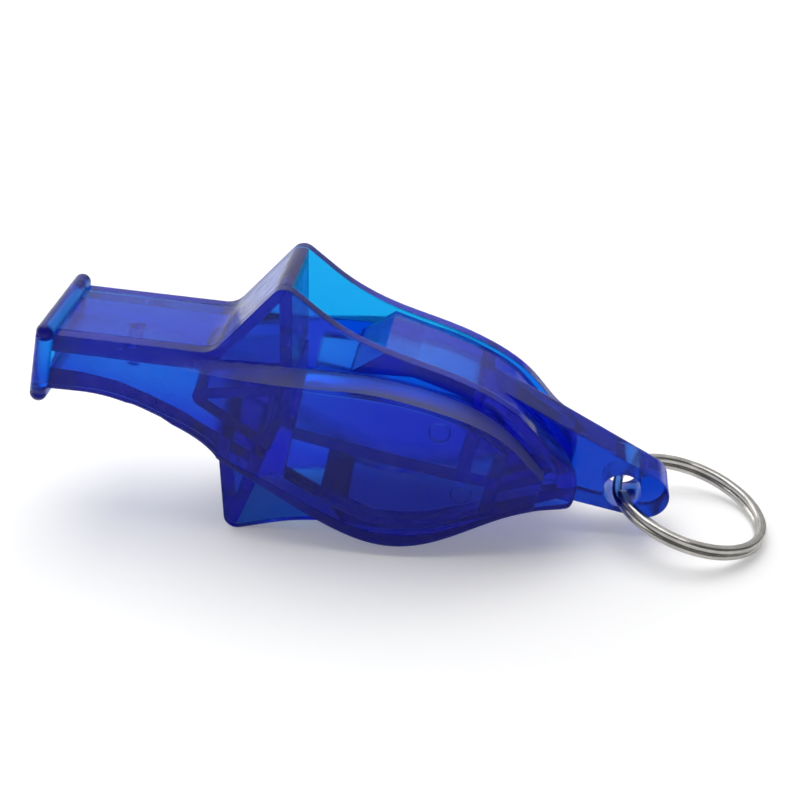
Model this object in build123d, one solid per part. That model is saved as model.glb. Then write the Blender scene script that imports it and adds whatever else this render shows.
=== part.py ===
from build123d import *
import math
import os

os.makedirs("parts", exist_ok=True)

# The whistle is drawn level first: X runs from the lips to the tail, Y across, Z up from the airway's middle.
# All sizes are in millimetres and all angles in degrees.

# Side cheeks, the two mouldings that close the whistle left and right
cheek_length = 55.0
tail_height = -0.6
cheek_front = 0.35
plate_half_width = 5.85
cheek_wall = 1.3
fin_half_width = 5.7
neck_height = 2.9
neck_rise_angle = 8.6
neck_root_depth = 5.2
lip_side_depth = 3.2
neck_arch_shares = ((0.96, 0.9), (0.83, 0.71), (0.68, 0.585), (0.53, 0.46), (0.38, 0.42), (0.22, 0.49))

# Fins above and below, with a sloping ramp in front and a rounded crest
fin_height = 14.0
top_crest_x = 23.0
bottom_crest_x = 22.6
crest_radius = 1.3
crest_fall_angle = 27.0
top_ramp_angle = 59.0
bottom_ramp_angle = 77.0
ramp_foot_radius = 2.5
fin_wall = 1.2
back_edge_shares = (
    (0.14, 0.83), (0.315, 0.722), (0.49, 0.675), (0.659, 0.595), (0.802, 0.445), (0.918, 0.25))
under_edge_shares = (
    (0.151, 0.82), (0.308, 0.72), (0.412, 0.69), (0.516, 0.645), (0.663, 0.49), (0.805, 0.32), (0.914, 0.19),
    (0.979, 0.13))

# Flank raised on each cheek: its shoulder above, its keel below and how far it swells
flank_front = 1.6
flank_tail_gap = 3.7
shoulder_height = 7.6
keel_depth = 9.4
swell = 3.05
flank_bite = 0.1
flank_shares = (
    # along, shoulder at the plate, shoulder's edge, keel, swell
    (0.0, 0.43, 0.145, 0.37, 0.02),
    (0.13, 0.56, 0.276, 0.28, 0.04),
    (0.29, 0.7, 0.434, 0.42, 0.19),
    (0.37, 0.737, 0.526, 0.585, 0.41),
    (0.45, 0.81, 0.651, 0.691, 0.67),
    (0.55, 0.914, 0.809, 0.851, 0.85),
    (0.69, 1.0, 0.947, 1.0, 1.0),
    (0.773, 0.974, 0.921, 0.936, 1.0),
    (0.86, 0.855, 0.803, 0.691, 0.85),
    (0.924, 0.645, 0.592, 0.447, 0.67),
    (1.0, 0.263, 0.21, 0.223, 0.48),
)

# Pocket inside each flank, where the two chambers widen behind the fins
pocket_depth = 2.45
pocket_front = 26.6
pocket_tail_gap = 7.8
pocket_top = 6.0
pocket_bottom = 7.8
mark_radius = 1.0
mark_depth = 0.15
upper_mark_gap = 14.7
upper_mark_height = 4.3
lower_mark_gap = 11.1
lower_mark_height = -1.95
pocket_top_shares = ((0.0, 0.8), (0.22, 0.917), (0.46, 1.0), (0.68, 0.958), (0.88, 0.77), (1.0, 0.53))
pocket_bottom_shares = ((1.0, 0.4), (0.88, 0.6), (0.68, 0.92), (0.46, 1.0), (0.22, 0.885), (0.0, 0.7))

# Mouthpiece frame: lips, airway walls, fins and the post that ties its two walls together
lip_radius = 0.85
lip_half_length = 5.9
lip_height = 3.25
lip_depth = 3.7
lip_clearance = 0.04
slot_top = 0.7
slot_bottom = 1.2
windway_bend_x = 17.6
windway_bend_height = 2.95
exit_height = 4.95
floor_shares = ((0.27, 0.25), (0.47, 0.23), (0.65, 0.41), (0.88, 0.74), (1.0, 1.0))
post_x = 8.7
post_radius = 0.7
post_foot_share = 0.41

# Chamber block: air splitter, divider, the two sharp labium edges, chambers, tail and lug
top_apex_x = 26.1
bottom_apex_x = 25.45
wall_lean_angle = 11.1
nose_x = 16.0
nose_radius = 1.0
splitter_angle = 20.3
splitter_wall = 1.15
divider_thickness = 1.3
labium_x = 30.5
labium_height = 6.75
labium_angle = 46.0
chamber_rise_angle = 11.0
rim_step = 0.4
skin = 1.4
upper_chamber_gap = 12.2
lower_chamber_gap = 9.0
end_wall = 1.3
weld_gap = 0.03
inset_shares = (0.0, 0.12, 0.26, 0.4, 0.54, 0.68, 0.8, 0.88)

# Lug at the tail, a thick tongue with rounded edges and the hole for the ring
lug_thickness = 4.8
lug_edge_radius = 0.7
lug_end_reach = 7.35
lug_end_height = -0.25
lug_end_radius = 2.45
lug_hole_radius = 1.95
lug_hole_reach = 5.0
lug_hole_height = -0.2
lug_top_gap = 10.5
lug_top_height = 7.85
lug_root_gap = 5.0
lug_root_depth = 2.7

# Split ring of flat spring wire, wound twice
ring_mean_radius = 7.7
wire_width = 0.94
wire_height = 0.66
wire_bevel = 0.16
turn_gap = 0.1
crossing_angle = 24.0
crossing_steps = 4
end_gap_angle = 4.0
ring_set_back = 0.25
ring_drop = 0.75
ring_lean_angle = 2.4

# One overrun serves every cut that has to pass right through
overrun = 5.0

# The chambers, the lug and the ring keep their distances from the tail
flank_length = cheek_length - flank_tail_gap - flank_front
pocket_length = cheek_length - pocket_tail_gap - pocket_front
upper_mark_x = cheek_length - upper_mark_gap
lower_mark_x = cheek_length - lower_mark_gap
upper_chamber_end = cheek_length - upper_chamber_gap
lower_chamber_end = cheek_length - lower_chamber_gap
lug_top_x = cheek_length - lug_top_gap
lug_root_x = cheek_length - lug_root_gap
lug_hole_x = cheek_length + lug_hole_reach
lug_end_x = cheek_length + lug_end_reach
ring_seat_x = lug_hole_x - ring_set_back
ring_seat_height = lug_hole_height - ring_drop

core_half_width = plate_half_width - cheek_wall
flank_root = plate_half_width - flank_bite
half_divider = divider_thickness / 2
half_lug = lug_thickness / 2
stack_height = 2 * wire_height + turn_gap
far_x = lug_end_x + lug_end_radius + overrun
far_y = plate_half_width + swell + overrun
far_z = fin_height + overrun


def polar(radius, angle):
    """A step of the given length in the direction of an angle."""
    return Vector(radius * math.cos(math.radians(angle)), radius * math.sin(math.radians(angle)))


def meet(point, angle, other, other_angle):
    """Where a line through one point meets a line through another."""
    along = polar(1, angle)
    away = polar(1, other_angle)
    step = other - point
    reach = (step.X * away.Y - step.Y * away.X) / (along.X * away.Y - along.Y * away.X)
    return point + along * reach


def flip(point):
    """The same place on the other side of the airway's middle."""
    return Vector(point.X, -point.Y)


def polygon(*points):
    """A side-view face with straight sides."""
    return make_face(Polyline(*points, close=True))


def prism(face, start, end):
    """A side-view face drawn out between two distances from the middle, towards the right cheek."""
    return extrude(Plane.XZ.offset(start) * face, amount=end - start)


def through(face, half_width):
    """A side-view face drawn out equally to the left and to the right."""
    return extrude(Plane.XZ * face, amount=half_width, both=True)


# Side view of a cheek: neck, ramp, crest, back edge, tail, and the same below with an arched neck
neck_start = Vector(cheek_front, neck_height)
neck_end = Vector(cheek_front, -lip_side_depth)
crest_top = Vector(top_crest_x, fin_height - crest_radius)
crest_bottom = Vector(bottom_crest_x, crest_radius - fin_height)
ramp_top = crest_top + polar(crest_radius, top_ramp_angle + 90)
ramp_bottom = crest_bottom + polar(crest_radius, -bottom_ramp_angle - 90)
foot_top = meet(neck_start, neck_rise_angle, ramp_top, top_ramp_angle)
foot_bottom = meet(Vector(0, -neck_root_depth), 0, ramp_bottom, -bottom_ramp_angle)
back_top = crest_top + polar(crest_radius, 90 - crest_fall_angle)
back_bottom = crest_bottom + polar(crest_radius, crest_fall_angle - 90)
back_run = cheek_length - back_top.X
under_run = cheek_length - back_bottom.X
back_points = [Vector(back_top.X + back_run * along, fin_height * up) for along, up in back_edge_shares]
under_points = [
    Vector(back_bottom.X + under_run * along, -fin_height * down) for along, down in under_edge_shares]
tail = Vector(cheek_length, tail_height)
fall = polar(1, -crest_fall_angle)
back_edge = Spline(back_top, *back_points, tail, tangents=(fall, (0, -1)))
under_edge = Spline(back_bottom, *under_points, tail, tangents=(flip(fall), (0, 1)))
arch_points = [Vector(foot_bottom.X * along, -neck_root_depth * down) for along, down in neck_arch_shares]
cheek_face = make_face([
    FilletPolyline(neck_start, foot_top, ramp_top, radius=ramp_foot_radius),
    ThreePointArc(ramp_top, crest_top + Vector(0, crest_radius), back_top),
    back_edge,
    under_edge,
    ThreePointArc(back_bottom, crest_bottom - Vector(0, crest_radius), ramp_bottom),
    Line(ramp_bottom, foot_bottom),
    Spline(foot_bottom, *arch_points, neck_end),
    Line(neck_end, neck_start),
])


def inside_back(inset):
    """Side view of the body behind the fins, all round a step inside the back edges of the cheeks."""
    edges = []
    for edge, side in ((back_edge, 1), (under_edge, -1)):
        points = []
        for share in inset_shares:
            way = edge % share
            points.append((edge @ share) + Vector(way.Y, -way.X) * side * inset)
        edges.append(Spline(*points, tail - Vector(inset, 0)))
    return make_face([*edges, Line(edges[0] @ 0, edges[1] @ 0)])


def lip_bars(radius):
    """Two round bars with ball ends, above and below the mouth slot."""
    bars = Part()
    for height in (lip_height, -lip_depth):
        place = Pos(lip_radius, 0, height)
        bars += place * Rotation(90, 0, 0) * Cylinder(radius, 2 * lip_half_length)
        for end in (lip_half_length, -lip_half_length):
            bars += place * Pos(0, end, 0) * Sphere(radius)
    return bars


# Cheek plate, thinner towards the fin crests as the mould's draft leaves it
draft_points = (
    (0, fin_height), (-fin_half_width, fin_height), (-plate_half_width, neck_root_depth),
    (-plate_half_width, -neck_root_depth), (-fin_half_width, -fin_height), (0, -fin_height))
draft = extrude(Plane.YZ * polygon(*draft_points), amount=far_x)

# Flank, drawn through upright sections from the lips to the tail and trimmed to the side view
sections = []
for along, shoulder, edge, keel, out in flank_shares:
    flank_half_width = plate_half_width + swell * out
    outline = polygon(
        (-core_half_width, shoulder_height * shoulder), (-flank_root, shoulder_height * shoulder),
        (-flank_half_width, shoulder_height * edge), (-flank_half_width, -keel_depth * keel),
        (-core_half_width, -keel_depth * keel))
    station = Plane(origin=(flank_front + flank_length * along, 0, 0), x_dir=(0, 1, 0), z_dir=(1, 0, 0))
    sections.append(station * outline)
sided = draft + loft(sections)


def pocket_outline(gap):
    """Side view of a pocket, or of what fits in it with a gap all round."""
    start = pocket_front + gap
    run = pocket_length - 2 * gap
    top = pocket_top - gap
    bottom = pocket_bottom - gap
    above = Spline(*[(start + run * along, top * up) for along, up in pocket_top_shares])
    below = Spline(*[(start + run * along, -bottom * down) for along, down in pocket_bottom_shares])
    return make_face([above, Line(above @ 1, below @ 0), below, Line(below @ 1, above @ 0)])


pocket = prism(pocket_outline(0), core_half_width, core_half_width + pocket_depth)

# A round upright bead at the front of each cheek stands between the ends of the two lips
bead = Pos(lip_radius, -lip_half_length, -lip_depth) * Cylinder(
    lip_radius, lip_height + lip_depth, align=(Align.CENTER, Align.CENTER, Align.MIN))

right_cheek = (sided & prism(cheek_face, core_half_width, far_y)) - pocket
right_cheek = right_cheek + bead - lip_bars(lip_radius + lip_clearance)

# Round marks that the mould's ejector pins leave in the floor of the pocket
for mark_x, mark_height in ((upper_mark_x, upper_mark_height), (lower_mark_x, lower_mark_height)):
    mark = Pos(mark_x, mark_height) * Circle(mark_radius)
    right_cheek -= prism(mark, core_half_width, core_half_width + pocket_depth + mark_depth)
left_cheek = mirror(right_cheek, about=Plane.XZ)

# Mouthpiece frame: all that lies in front of the leaning back faces, less the airway and the fins' hollows
lean = 90 + wall_lean_angle
top_apex = Vector(top_apex_x, 0)
bottom_apex = Vector(bottom_apex_x, 0)
top_bend = Vector(windway_bend_x, windway_bend_height)
top_exit = meet(top_apex, lean, Vector(0, exit_height), 0)
bottom_exit = meet(bottom_apex, -lean, Vector(0, -exit_height), 0)
top_far = meet(top_apex, lean, Vector(0, far_z), 0)
bottom_far = meet(bottom_apex, -lean, Vector(0, -far_z), 0)
front_face = polygon((lip_radius, far_z), top_far, top_apex, bottom_apex, bottom_far, (lip_radius, -far_z))
floor_points = [Vector(windway_bend_x * along, -windway_bend_height * down) for along, down in floor_shares]
airway_face = polygon(
    (-overrun, slot_top), (lip_radius, slot_top), top_bend, top_exit, (far_x, exit_height),
    (far_x, -exit_height), bottom_exit, *reversed(floor_points), (lip_radius, -slot_bottom),
    (-overrun, -slot_bottom))


def fin_hollow(ramp, ramp_angle, apex, end):
    """Three-cornered hollow of an upper fin between its ramp, its back wall and the windway's plate."""
    windway = end - top_bend
    windway_angle = math.degrees(math.atan2(windway.Y, windway.X))
    ramp = ramp + polar(fin_wall, ramp_angle - 90)
    back = apex + polar(fin_wall, lean + 90)
    under = top_bend + polar(fin_wall, windway_angle + 90)
    return (meet(ramp, ramp_angle, under, windway_angle), meet(back, lean, under, windway_angle),
            meet(back, lean, ramp, ramp_angle))


top_hollow = polygon(*fin_hollow(ramp_top, top_ramp_angle, top_apex, top_exit))
bottom_corners = fin_hollow(flip(ramp_bottom), bottom_ramp_angle, bottom_apex, flip(bottom_exit))
bottom_hollow = polygon(*[flip(corner) for corner in bottom_corners])
frame_face = (cheek_face & front_face) - airway_face - top_hollow - bottom_hollow
post_foot = windway_bend_height * post_foot_share
post = Pos(post_x, 0, -post_foot) * Cylinder(
    post_radius, windway_bend_height + post_foot, align=(Align.CENTER, Align.CENTER, Align.MIN))
core = core_half_width - weld_gap
mouthpiece_frame = through(frame_face, core) + (lip_bars(lip_radius) - through(airway_face, far_y)) + post

# Air splitter, a hollow wedge whose nose parts the breath between the two windways
nose = Vector(nose_x + nose_radius, 0)
splitter_start = nose + polar(nose_radius, 90 + splitter_angle)
splitter_inner = splitter_start + polar(splitter_wall, splitter_angle - 90)
top_end = meet(splitter_start, splitter_angle, top_apex, lean)
bottom_end = meet(flip(splitter_start), -splitter_angle, bottom_apex, -lean)
splitter_face = polygon(splitter_start, top_end, top_apex, bottom_apex, bottom_end, flip(splitter_start))
splitter_face = splitter_face + Pos(nose.X, nose.Y) * Circle(nose_radius)
top_back = top_apex + polar(splitter_wall, lean + 90)
bottom_back = bottom_apex + polar(splitter_wall, -lean - 90)
splitter_hollow = polygon(
    meet(splitter_inner, splitter_angle, nose, 0), meet(splitter_inner, splitter_angle, top_back, lean),
    meet(top_back, lean, nose, 0), meet(bottom_back, -lean, nose, 0),
    meet(flip(splitter_inner), -splitter_angle, bottom_back, -lean))

# Chamber block behind the sound windows, set a step below the rims of the cheeks
outer_face = inside_back(rim_step)
room_face = inside_back(rim_step + skin)
labium = Vector(labium_x, labium_height)
labium_top = meet(labium, labium_angle, Vector(0, far_z), 0)
rear_face = polygon(labium, labium_top, (far_x, far_z), (far_x, -far_z), flip(labium_top), flip(labium))


def chamber(end):
    """Corners of a chamber's room from its window to its end wall, above the divider."""
    ceiling = meet(labium, chamber_rise_angle, Vector(end, 0), 90)
    start = labium_x - overrun
    return (Vector(start, half_divider), Vector(start, labium_height), labium, ceiling,
            Vector(end, half_divider))


upper_room = room_face & polygon(*chamber(upper_chamber_end))
lower_room = room_face & polygon(*[flip(corner) for corner in chamber(lower_chamber_end)])
upper_tail = upper_chamber_end + end_wall
lower_tail = lower_chamber_end + end_wall
tail_room = room_face & polygon(
    (upper_tail, far_z), (upper_tail, half_divider), (lower_tail, half_divider), (lower_tail, -far_z),
    (far_x, -far_z), (far_x, far_z))
divider_face = polygon(
    (nose.X, half_divider), (lower_chamber_end, half_divider), (lower_chamber_end, -half_divider),
    (nose.X, -half_divider))
block_face = (outer_face & rear_face) - upper_room - lower_room + divider_face + splitter_face

# Inside the flanks only the divider and the two end walls go on, down to the floor of each pocket
divider_bar = polygon(
    (0, half_divider), (lower_tail, half_divider), (lower_tail, -half_divider), (0, -half_divider))
upper_wall = polygon((upper_chamber_end, 0), (upper_tail, 0), (upper_tail, far_z), (upper_chamber_end, far_z))
lower_wall = polygon(
    (lower_chamber_end, 0), (lower_tail, 0), (lower_tail, -far_z), (lower_chamber_end, -far_z))
pocket_walls = (divider_bar + upper_wall + lower_wall) & pocket_outline(weld_gap)

# Lug, from the chamber block's top down to a round end
lug_centre = Vector(lug_end_x, lug_end_height)
lug_top = Vector(lug_top_x, lug_top_height)
lug_root = Vector(lug_root_x, -lug_root_depth)


def touch(start, side):
    """Where a line from a point touches the round end of the lug, above or below."""
    step = start - lug_centre
    bearing = math.degrees(math.atan2(step.Y, step.X))
    spread = math.degrees(math.acos(lug_end_radius / step.length))
    return lug_centre + polar(lug_end_radius, bearing - side * spread)


lug_over = touch(lug_top, 1)
lug_under = touch(lug_root, -1)
lug_face = make_face([
    Line(lug_top, lug_over),
    ThreePointArc(lug_over, lug_centre + Vector(lug_end_radius, 0), lug_under),
    Line(lug_under, lug_root),
    Line(lug_root, lug_top),
])
lug = through(lug_face, half_lug)
for side in (lug.faces().sort_by(Axis.Y)[0], lug.faces().sort_by(Axis.Y)[-1]):
    rims = side.edges().filter_by(lambda edge: edge.center().X > lug_root_x)
    lug = fillet(rims, lug_edge_radius)
lug_hole = Pos(lug_hole_x, lug_hole_height) * Circle(lug_hole_radius)
lug -= through(lug_hole, core_half_width)

chamber_block = through(block_face, core) - through(splitter_hollow, core_half_width)
chamber_block -= prism(tail_room, half_lug, core_half_width)
chamber_block -= prism(tail_room, -core_half_width, -half_lug)
chamber_block += lug
pocket_floor = core_half_width + pocket_depth - weld_gap
chamber_block += prism(pocket_walls, core, pocket_floor)
chamber_block += prism(pocket_walls, -pocket_floor, -core)

# Split ring: two flat turns joined by a short crossing, both ends of the wire beside it in the hole
wire_face = Rectangle(wire_width, wire_height)
wire_face = chamfer(wire_face.vertices(), wire_bevel)
wire_face = Plane.XZ * Pos(ring_mean_radius, 0) * wire_face
turn_rise = (wire_height + turn_gap) / 2


def wire_section(angle, height):
    """The wire's section at an angle round the ring and a height across it."""
    return Rotation(0, 0, angle) * Pos(0, 0, height) * wire_face


turn = 360 - crossing_angle - end_gap_angle
lower_turn = Rotation(0, 0, crossing_angle) * revolve(wire_section(0, -turn_rise), Axis.Z, turn)
upper_turn = Rotation(0, 0, -turn) * revolve(wire_section(0, turn_rise), Axis.Z, turn)
bend_sections = []
for step in range(crossing_steps + 1):
    share = step / crossing_steps
    ease = share * share * (3 - 2 * share)
    bend_sections.append(wire_section(crossing_angle * share, turn_rise * (1 - 2 * ease)))
split_ring = lower_turn + upper_turn + loft(bend_sections)
split_ring = Pos(ring_mean_radius, 0, 0) * Rotation(0, 0, 180 - crossing_angle / 2) * split_ring
split_ring = Pos(ring_seat_x, 0, ring_seat_height) * Rotation(0, ring_lean_angle, 0) * split_ring

# The whistle rests on its lower crest and on the first thing behind it that reaches the ground
ring_reach = Vector(2 * ring_mean_radius + wire_width / 2, -stack_height / 2)
ring_far_edge = Vector(ring_seat_x, ring_seat_height) + ring_reach.rotate(Axis.Z, -ring_lean_angle)


def rest_angle(point, radius):
    """Tail-down lean at which the crest and a round of the given radius stand on level ground."""
    step = point - crest_bottom
    return math.degrees(math.atan2(step.Y, step.X) - math.asin((radius - crest_radius) / step.length))


tilt = min(rest_angle(ring_far_edge, 0), rest_angle(lug_centre, lug_end_radius))
settled = Rotation(0, tilt, 0)
ground = (settled * Pos(crest_bottom.X, 0, crest_bottom.Y)).position.Z - crest_radius

nodes = {
    "left_cheek": left_cheek,
    "right_cheek": right_cheek,
    "mouthpiece_frame": mouthpiece_frame,
    "chamber_block": chamber_block,
    "split_ring": split_ring,
}
standing = {name: settled * shape for name, shape in nodes.items()}
box = Compound([solid for shape in standing.values() for solid in shape.solids()]).bounding_box()
home = Pos(-(box.min.X + box.max.X) / 2, 0, -ground)
for name, shape in standing.items():
    export_step(home * shape, "parts/" + name + ".step")

hinge = home * settled * Pos(ring_seat_x, 0, ring_seat_height)
lips_place = home * settled * Pos(0, 0, 0)
print("tilt", round(tilt, 3))
print("ring hinge at", [round(v, 4) for v in hinge.position])
print("airway's front at", [round(v, 4) for v in lips_place.position])
print("box", box.size)
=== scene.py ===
import bpy
from mathutils import Matrix, Vector

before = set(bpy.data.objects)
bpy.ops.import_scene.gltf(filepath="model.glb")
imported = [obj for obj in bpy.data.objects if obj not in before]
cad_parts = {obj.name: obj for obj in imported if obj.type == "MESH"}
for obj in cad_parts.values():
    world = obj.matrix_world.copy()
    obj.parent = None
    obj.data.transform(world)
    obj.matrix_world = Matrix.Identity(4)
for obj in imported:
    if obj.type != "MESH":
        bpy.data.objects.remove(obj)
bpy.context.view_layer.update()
bpy.ops.object.select_all(action="DESELECT")

# Right cheek: the moulding that closes the whistle on the player's right, from the lips to the tail.
# It is clear blue polycarbonate from a polished mould, with a faint ripple where the melt flowed.
# It is welded to the two middle mouldings along its inner face.
moulded_skin = bpy.data.node_groups.new("moulded_skin", "ShaderNodeTree")
for socket_name, socket_type in (
        ("Vector", "NodeSocketVector"), ("Polish", "NodeSocketFloat"), ("Grain", "NodeSocketFloat")):
    moulded_skin.interface.new_socket(socket_name, in_out="INPUT", socket_type=socket_type)
for socket_name, socket_type in (
        ("Color", "NodeSocketColor"), ("Roughness", "NodeSocketFloat"), ("Height", "NodeSocketFloat")):
    moulded_skin.interface.new_socket(socket_name, in_out="OUTPUT", socket_type=socket_type)
skin_in = moulded_skin.nodes.new("NodeGroupInput")
skin_out = moulded_skin.nodes.new("NodeGroupOutput")
flow_ripple = moulded_skin.nodes.new("ShaderNodeTexNoise")
flow_ripple.inputs["Scale"].default_value = 260.0
flow_ripple.inputs["Detail"].default_value = 1.0
mould_grain = moulded_skin.nodes.new("ShaderNodeTexNoise")
mould_grain.inputs["Scale"].default_value = 4200.0
mould_grain.inputs["Detail"].default_value = 2.0
handling = moulded_skin.nodes.new("ShaderNodeTexNoise")
handling.inputs["Scale"].default_value = 700.0
handling.inputs["Detail"].default_value = 4.0
dulling = moulded_skin.nodes.new("ShaderNodeMapRange")
dulling.inputs["From Min"].default_value = 0.35
dulling.inputs["From Max"].default_value = 0.75
dulling.inputs["To Min"].default_value = 0.6
dulling.inputs["To Max"].default_value = 1.7
skin_polish = moulded_skin.nodes.new("ShaderNodeMath")
skin_polish.operation = "MULTIPLY"
skin_height = moulded_skin.nodes.new("ShaderNodeMath")
skin_height.operation = "MULTIPLY_ADD"
melt_tint = moulded_skin.nodes.new("ShaderNodeMix")
melt_tint.data_type = "RGBA"
melt_tint.inputs["A"].default_value = (0.94, 0.96, 1.0, 1.0)
melt_tint.inputs["B"].default_value = (1.0, 1.0, 1.0, 1.0)
for texture in (flow_ripple, mould_grain, handling):
    moulded_skin.links.new(skin_in.outputs["Vector"], texture.inputs["Vector"])
moulded_skin.links.new(handling.outputs["Fac"], dulling.inputs["Value"])
moulded_skin.links.new(dulling.outputs["Result"], skin_polish.inputs[0])
moulded_skin.links.new(skin_in.outputs["Polish"], skin_polish.inputs[1])
moulded_skin.links.new(mould_grain.outputs["Fac"], skin_height.inputs[0])
moulded_skin.links.new(skin_in.outputs["Grain"], skin_height.inputs[1])
moulded_skin.links.new(flow_ripple.outputs["Fac"], skin_height.inputs[2])
moulded_skin.links.new(flow_ripple.outputs["Fac"], melt_tint.inputs["Factor"])
moulded_skin.links.new(melt_tint.outputs["Result"], skin_out.inputs["Color"])
moulded_skin.links.new(skin_polish.outputs["Value"], skin_out.inputs["Roughness"])
moulded_skin.links.new(skin_height.outputs["Value"], skin_out.inputs["Height"])

plate_face, flank_step = 0.00588, 0.0061
frosted_shoulder = bpy.data.node_groups.new("frosted_shoulder", "ShaderNodeTree")
for socket_name in ("Vector", "Normal"):
    frosted_shoulder.interface.new_socket(socket_name, in_out="INPUT", socket_type="NodeSocketVector")
frosted_shoulder.interface.new_socket("Mask", in_out="OUTPUT", socket_type="NodeSocketFloat")
shoulder_in = frosted_shoulder.nodes.new("NodeGroupInput")
shoulder_out = frosted_shoulder.nodes.new("NodeGroupOutput")
across = frosted_shoulder.nodes.new("ShaderNodeSeparateXYZ")
outward = frosted_shoulder.nodes.new("ShaderNodeMath")
outward.operation = "ABSOLUTE"
proud = frosted_shoulder.nodes.new("ShaderNodeMapRange")
proud.inputs["From Min"].default_value = plate_face
proud.inputs["From Max"].default_value = flank_step
facing = frosted_shoulder.nodes.new("ShaderNodeSeparateXYZ")
upward = frosted_shoulder.nodes.new("ShaderNodeMapRange")
upward.interpolation_type = "SMOOTHSTEP"
upward.inputs["From Min"].default_value = 0.08
upward.inputs["From Max"].default_value = 0.5
on_shoulder = frosted_shoulder.nodes.new("ShaderNodeMath")
on_shoulder.operation = "MULTIPLY"
tool_marks = frosted_shoulder.nodes.new("ShaderNodeTexNoise")
tool_marks.inputs["Scale"].default_value = 420.0
tool_marks.inputs["Detail"].default_value = 3.0
frost = frosted_shoulder.nodes.new("ShaderNodeMapRange")
frost.inputs["To Min"].default_value = 0.7
frost.inputs["To Max"].default_value = 1.0
frosting = frosted_shoulder.nodes.new("ShaderNodeMath")
frosting.operation = "MULTIPLY"
frosted_shoulder.links.new(shoulder_in.outputs["Vector"], across.inputs["Vector"])
frosted_shoulder.links.new(across.outputs["Y"], outward.inputs[0])
frosted_shoulder.links.new(outward.outputs["Value"], proud.inputs["Value"])
frosted_shoulder.links.new(shoulder_in.outputs["Normal"], facing.inputs["Vector"])
frosted_shoulder.links.new(facing.outputs["Z"], upward.inputs["Value"])
frosted_shoulder.links.new(proud.outputs["Result"], on_shoulder.inputs[0])
frosted_shoulder.links.new(upward.outputs["Result"], on_shoulder.inputs[1])
frosted_shoulder.links.new(shoulder_in.outputs["Vector"], tool_marks.inputs["Vector"])
frosted_shoulder.links.new(tool_marks.outputs["Fac"], frost.inputs["Value"])
frosted_shoulder.links.new(on_shoulder.outputs["Value"], frosting.inputs[0])
frosted_shoulder.links.new(frost.outputs["Result"], frosting.inputs[1])
frosted_shoulder.links.new(frosting.outputs["Value"], shoulder_out.inputs["Mask"])


def clear_blue(name, polish, grain, density, haze):
    """Clear blue polycarbonate: the skin comes from the mould, the colour from the depth of plastic.

    The pigment scatters a little, so faces that slant away have a faint blue haze.
    """
    plastic = bpy.data.materials.new(name)
    plastic.use_nodes = True
    tree = plastic.node_tree
    shader = tree.nodes["Principled BSDF"]
    shader.inputs["Transmission Weight"].default_value = 0.992
    shader.inputs["IOR"].default_value = 1.45
    shader.inputs["Specular Tint"].default_value = (0.4, 0.42, 0.5, 1.0)
    shader.inputs["Sheen Weight"].default_value = haze
    shader.inputs["Sheen Roughness"].default_value = 0.5
    shader.inputs["Sheen Tint"].default_value = (0.03, 0.08, 0.9, 1.0)
    place = tree.nodes.new("ShaderNodeTexCoord")
    skin = tree.nodes.new("ShaderNodeGroup")
    skin.node_tree = moulded_skin
    skin.inputs["Polish"].default_value = polish
    skin.inputs["Grain"].default_value = grain
    bump = tree.nodes.new("ShaderNodeBump")
    bump.inputs["Strength"].default_value = 0.25
    bump.inputs["Distance"].default_value = 0.00006
    soft_edge = tree.nodes.new("ShaderNodeBevel")
    soft_edge.samples = 4
    soft_edge.inputs["Radius"].default_value = 0.0003
    depth = tree.nodes.new("ShaderNodeVolumeAbsorption")
    depth.inputs["Color"].default_value = (0.03, 0.81, 0.972, 1.0)
    depth.inputs["Density"].default_value = density
    tree.links.new(place.outputs["Object"], skin.inputs["Vector"])
    tree.links.new(skin.outputs["Color"], shader.inputs["Base Color"])
    tree.links.new(skin.outputs["Roughness"], shader.inputs["Roughness"])
    tree.links.new(skin.outputs["Height"], bump.inputs["Height"])
    tree.links.new(soft_edge.outputs["Normal"], bump.inputs["Normal"])
    tree.links.new(bump.outputs["Normal"], shader.inputs["Normal"])
    tree.links.new(depth.outputs["Volume"], tree.nodes["Material Output"].inputs["Volume"])
    return plastic


def frost_shoulder(plastic):
    """The step above the flank is left fine and dull by the mould, so that it shines softly."""
    tree = plastic.node_tree
    shader = tree.nodes["Principled BSDF"]
    shader.inputs["Coat Roughness"].default_value = 0.8
    shader.inputs["Coat IOR"].default_value = 2.0
    place = tree.nodes["Texture Coordinate"]
    skin = tree.nodes["Group"]
    shoulder = tree.nodes.new("ShaderNodeGroup")
    shoulder.node_tree = frosted_shoulder
    duller = tree.nodes.new("ShaderNodeMath")
    duller.operation = "MULTIPLY_ADD"
    duller.inputs[1].default_value = 0.35
    tree.links.new(place.outputs["Object"], shoulder.inputs["Vector"])
    tree.links.new(place.outputs["Normal"], shoulder.inputs["Normal"])
    tree.links.new(shoulder.outputs["Mask"], shader.inputs["Coat Weight"])
    tree.links.new(shoulder.outputs["Mask"], duller.inputs[0])
    tree.links.new(skin.outputs["Roughness"], duller.inputs[2])
    tree.links.new(duller.outputs["Value"], shader.inputs["Roughness"])
    return plastic


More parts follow.
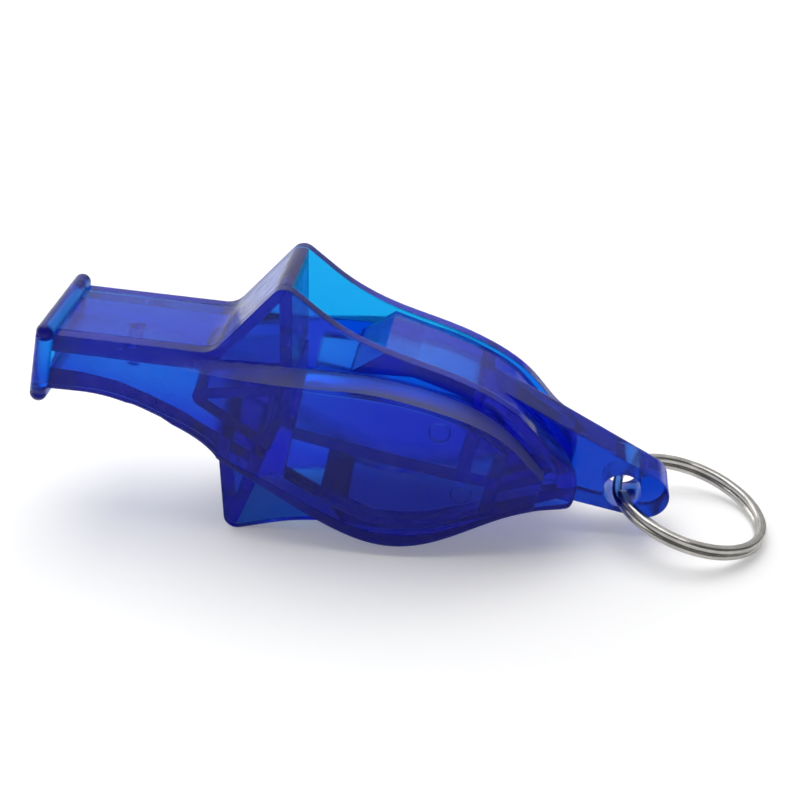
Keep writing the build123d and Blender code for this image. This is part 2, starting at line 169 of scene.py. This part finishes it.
def paint_shade_blue(plastic, direction, start, full, blue):
    """Paints shade: some places get a painted deeper blue, which grows from start to full along a
    direction.
    """
    tree = plastic.node_tree
    along = tree.nodes.new("ShaderNodeVectorMath")
    along.operation = "DOT_PRODUCT"
    along.inputs[1].default_value = direction
    reach = tree.nodes.new("ShaderNodeMapRange")
    reach.inputs["From Min"].default_value = start
    reach.inputs["From Max"].default_value = full
    deeper = tree.nodes.new("ShaderNodeMix")
    deeper.data_type = "RGBA"
    deeper.blend_type = "MULTIPLY"
    deeper.inputs["B"].default_value = blue
    base = tree.nodes["Principled BSDF"].inputs["Base Color"]
    tree.links.new(tree.nodes["Texture Coordinate"].outputs["Object"], along.inputs[0])
    tree.links.new(along.outputs["Value"], reach.inputs["Value"])
    tree.links.new(reach.outputs["Result"], deeper.inputs["Factor"])
    tree.links.new(base.links[0].from_socket, deeper.inputs["A"])
    tree.links.new(deeper.outputs["Result"], base)
    return plastic


upward_from_lips = (0.21579, 0.0, 0.97644)
backward_from_lips = (0.97644, 0.0, -0.21579)


def cheek_blue(name):
    """Both cheeks: clear at the top and the front, with painted shade that makes them a deeper blue
    below, over the shadowed floor, and towards the tail.
    """
    plastic = clear_blue(name, polish=0.1, grain=0.02, density=3650.0, haze=0.6)
    frost_shoulder(plastic)
    # painted shade: a deeper blue on the lower cheeks, over the shadowed floor
    paint_shade_blue(
        plastic, upward_from_lips, start=0.0118, full=0.0083, blue=(0.75, 0.42, 0.85, 1.0))
    # painted shade: a deeper blue towards the tail
    paint_shade_blue(
        plastic, backward_from_lips, start=-0.00155, full=0.00845, blue=(0.75, 0.42, 0.88, 1.0))
    return plastic


right_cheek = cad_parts["right_cheek"]
right_cheek.data.materials[0] = cheek_blue("right_cheek_plastic")

# Left cheek: the same moulding for the other side, from the mirrored half of the mould.
# It has the same clear blue plastic, and its inner face is welded on in the same way.
left_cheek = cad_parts["left_cheek"]
left_cheek.data.materials[0] = cheek_blue("left_cheek_plastic")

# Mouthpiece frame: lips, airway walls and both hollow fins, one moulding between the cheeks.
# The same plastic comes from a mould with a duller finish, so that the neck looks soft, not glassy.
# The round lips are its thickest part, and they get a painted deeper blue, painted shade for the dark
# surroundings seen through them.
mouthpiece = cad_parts["mouthpiece_frame"]
mouthpiece.data.materials[0] = paint_shade_blue(
    clear_blue("mouthpiece_plastic", polish=0.17, grain=0.02, density=2850.0, haze=0.15),
    backward_from_lips, start=-0.0376, full=-0.0379, blue=(0.8, 0.42, 0.66, 1.0))

# Chamber block: the wedge, divider, chamber walls, hollow tail and lug, one moulding.
# It is welded between the cheeks behind the mouthpiece frame, and its finish is duller than theirs.
# The lug at its end is solid, and it gets a painted deeper blue, painted shade for the shadow seen
# through it.
chamber_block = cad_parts["chamber_block"]
chamber_block.data.materials[0] = paint_shade_blue(
    clear_blue("chamber_plastic", polish=0.14, grain=0.02, density=1900.0, haze=0.6),
    backward_from_lips, start=0.009, full=0.0135, blue=(0.6, 0.28, 0.66, 1.0))

# Split ring: flat spring steel wire drawn through a die, wound twice and nickel plated.
# The die leaves fine lines along the wire, and keys and fingers dull the plating in patches.
ring_middle = (0.02918, 0.0, 0.00278)
nickel = bpy.data.materials.new("nickel_plate")
nickel.use_nodes = True
nickel_tree = nickel.node_tree
nickel_shader = nickel_tree.nodes["Principled BSDF"]
nickel_shader.inputs["Metallic"].default_value = 1.0
nickel_place = nickel_tree.nodes.new("ShaderNodeTexCoord")
nickel_centre = nickel_tree.nodes.new("ShaderNodeMapping")
nickel_centre.inputs["Location"].default_value = tuple(-length for length in ring_middle)
die_lines = nickel_tree.nodes.new("ShaderNodeTexWave")
die_lines.wave_type = "RINGS"
die_lines.rings_direction = "SPHERICAL"
die_lines.inputs["Scale"].default_value = 1600.0
die_lines.inputs["Distortion"].default_value = 3.0
die_lines.inputs["Detail"].default_value = 2.0
wear = nickel_tree.nodes.new("ShaderNodeTexNoise")
wear.inputs["Scale"].default_value = 650.0
wear.inputs["Detail"].default_value = 5.0
wear_colour = nickel_tree.nodes.new("ShaderNodeMix")
wear_colour.data_type = "RGBA"
wear_colour.inputs["A"].default_value = (0.34, 0.33, 0.31, 1.0)
wear_colour.inputs["B"].default_value = (0.66, 0.64, 0.61, 1.0)
wear_gloss = nickel_tree.nodes.new("ShaderNodeMapRange")
wear_gloss.inputs["From Min"].default_value = 0.3
wear_gloss.inputs["From Max"].default_value = 0.7
wear_gloss.inputs["To Min"].default_value = 0.18
wear_gloss.inputs["To Max"].default_value = 0.06
die_relief = nickel_tree.nodes.new("ShaderNodeBump")
die_relief.inputs["Strength"].default_value = 0.12
die_relief.inputs["Distance"].default_value = 0.00002
rolled_edge = nickel_tree.nodes.new("ShaderNodeBevel")
rolled_edge.samples = 6
rolled_edge.inputs["Radius"].default_value = 0.00028
nickel_tree.links.new(nickel_place.outputs["Object"], nickel_centre.inputs["Vector"])
nickel_tree.links.new(nickel_centre.outputs["Vector"], die_lines.inputs["Vector"])
nickel_tree.links.new(nickel_place.outputs["Object"], wear.inputs["Vector"])
nickel_tree.links.new(wear.outputs["Fac"], wear_colour.inputs["Factor"])
nickel_tree.links.new(wear.outputs["Fac"], wear_gloss.inputs["Value"])
nickel_tree.links.new(die_lines.outputs["Fac"], die_relief.inputs["Height"])
nickel_tree.links.new(rolled_edge.outputs["Normal"], die_relief.inputs["Normal"])
nickel_tree.links.new(wear_colour.outputs["Result"], nickel_shader.inputs["Base Color"])
nickel_tree.links.new(wear_gloss.outputs["Result"], nickel_shader.inputs["Roughness"])
nickel_tree.links.new(die_relief.outputs["Normal"], nickel_shader.inputs["Normal"])
split_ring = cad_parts["split_ring"]
split_ring.data.materials[0] = nickel

# Floor: a plain white paper sheet under the whistle, whose edges turn up and close the horizon.
# It stays white to the camera, in the metal and through the plastic, and keeps the shadow.
sheet_width, edge_rise = 5.0, 0.25
bpy.ops.mesh.primitive_plane_add(size=sheet_width, location=(0.0, 0.0, 0.0))
floor = bpy.context.active_object
floor.name = "floor"
bpy.ops.object.mode_set(mode="EDIT")
bpy.ops.mesh.select_all(action="SELECT")
bpy.ops.mesh.extrude_edges_move(TRANSFORM_OT_translate={"value": (0.0, 0.0, edge_rise)})
bpy.ops.object.mode_set(mode="OBJECT")
sheet = bpy.data.materials.new("white_sheet")
sheet.use_nodes = True
sheet_tree = sheet.node_tree
sheet_shader = sheet_tree.nodes["Principled BSDF"]
sheet_shader.inputs["Base Color"].default_value = (0.86, 0.86, 0.86, 1.0)
sheet_shader.inputs["Roughness"].default_value = 0.9
sheet_shader.inputs["Specular IOR Level"].default_value = 0.0
sheet_shader.inputs["Emission Color"].default_value = (1.0, 1.0, 1.0, 1.0)
floor.data.materials.append(sheet)
ray = sheet_tree.nodes.new("ShaderNodeLightPath")
seen = sheet_tree.nodes.new("ShaderNodeMath")
seen.operation = "MAXIMUM"
seen_through = sheet_tree.nodes.new("ShaderNodeMath")
seen_through.operation = "MAXIMUM"
glow = sheet_tree.nodes.new("ShaderNodeMath")
glow.operation = "MULTIPLY"
glow.inputs[1].default_value = 0.14
white = sheet_tree.nodes.new("ShaderNodeMath")
white.operation = "MULTIPLY_ADD"
white.inputs[1].default_value = 0.08
sheet_tree.links.new(ray.outputs["Is Camera Ray"], seen.inputs[0])
sheet_tree.links.new(ray.outputs["Is Glossy Ray"], seen.inputs[1])
sheet_tree.links.new(seen.outputs["Value"], seen_through.inputs[0])
sheet_tree.links.new(ray.outputs["Is Transmission Ray"], seen_through.inputs[1])
sheet_tree.links.new(seen_through.outputs["Value"], glow.inputs[0])
sheet_tree.links.new(ray.outputs["Is Camera Ray"], white.inputs[0])
sheet_tree.links.new(glow.outputs["Value"], white.inputs[2])
sheet_tree.links.new(white.outputs["Value"], sheet_shader.inputs["Emission Strength"])

# Studio light: a room that is white above, behind and to the left, and dim in front and to the right.
# One wide softbox hangs over the whistle and a smaller one stands at the back on the left.
brightest_side = (-0.5, 0.6, 0.62)
room = bpy.data.worlds.new("studio")
bpy.context.scene.world = room
room.use_nodes = True
room_tree = room.node_tree
room_place = room_tree.nodes.new("ShaderNodeTexCoord")
room_side = room_tree.nodes.new("ShaderNodeVectorMath")
room_side.operation = "DOT_PRODUCT"
room_side.inputs[1].default_value = brightest_side
room_white = room_tree.nodes.new("ShaderNodeMapRange")
room_white.interpolation_type = "SMOOTHSTEP"
room_white.inputs["From Min"].default_value = 0.3
room_white.inputs["From Max"].default_value = 0.75
room_white.inputs["To Min"].default_value = 0.12
room_white.inputs["To Max"].default_value = 1.0
room_tree.links.new(room_place.outputs["Generated"], room_side.inputs[0])
room_tree.links.new(room_side.outputs["Value"], room_white.inputs["Value"])
room_tree.links.new(room_white.outputs["Result"], room_tree.nodes["Background"].inputs["Strength"])
room_tree.nodes["Background"].inputs["Color"].default_value = (1.0, 1.0, 1.0, 1.0)
whistle_middle = Vector((0.0, 0.0, 0.01))
for lamp_name, lamp_place, size, power in (
        ("overhead_softbox", (0.0, 0.75, 3.0), 3.0, 55.0),
        ("side_softbox", (-2.0, 1.4, 1.2), 1.6, 13.0)):
    lamp = bpy.data.lights.new(lamp_name, "AREA")
    lamp.size = size
    lamp.energy = power
    softbox = bpy.data.objects.new(lamp_name, lamp)
    bpy.context.collection.objects.link(softbox)
    softbox.location = lamp_place
    aim = whistle_middle - Vector(lamp_place)
    softbox.rotation_euler = aim.to_track_quat("-Z", "Y").to_euler()

# Camera: close to the whistle and a little above it, on the player's right.
# It has no shift and no depth of field.
camera_data = bpy.data.cameras.new("camera")
camera_data.lens = 63.01
camera_data.sensor_width = 36.0
camera_data.clip_start = 0.005
camera = bpy.data.objects.new("camera", camera_data)
bpy.context.collection.objects.link(camera)
camera_place = (0.012952, -0.123176, 0.082351)
view_right = Vector((0.99344, 0.11415, 0.00601)).normalized()
view_ahead = Vector((-0.09673, 0.8675, -0.48795)).normalized()
view_up = view_right.cross(view_ahead)
camera.matrix_world = Matrix.Translation(camera_place) @ Matrix(
    (view_right, view_up, -view_ahead)).transposed().to_4x4()
bpy.context.scene.camera = camera

# Looks: plain colours, and enough bounces for the walls that lie behind each other.
bpy.context.scene.view_settings.view_transform = "Standard"
bpy.context.scene.cycles.max_bounces = 40
bpy.context.scene.cycles.transmission_bounces = 40
bpy.context.scene.cycles.glossy_bounces = 12
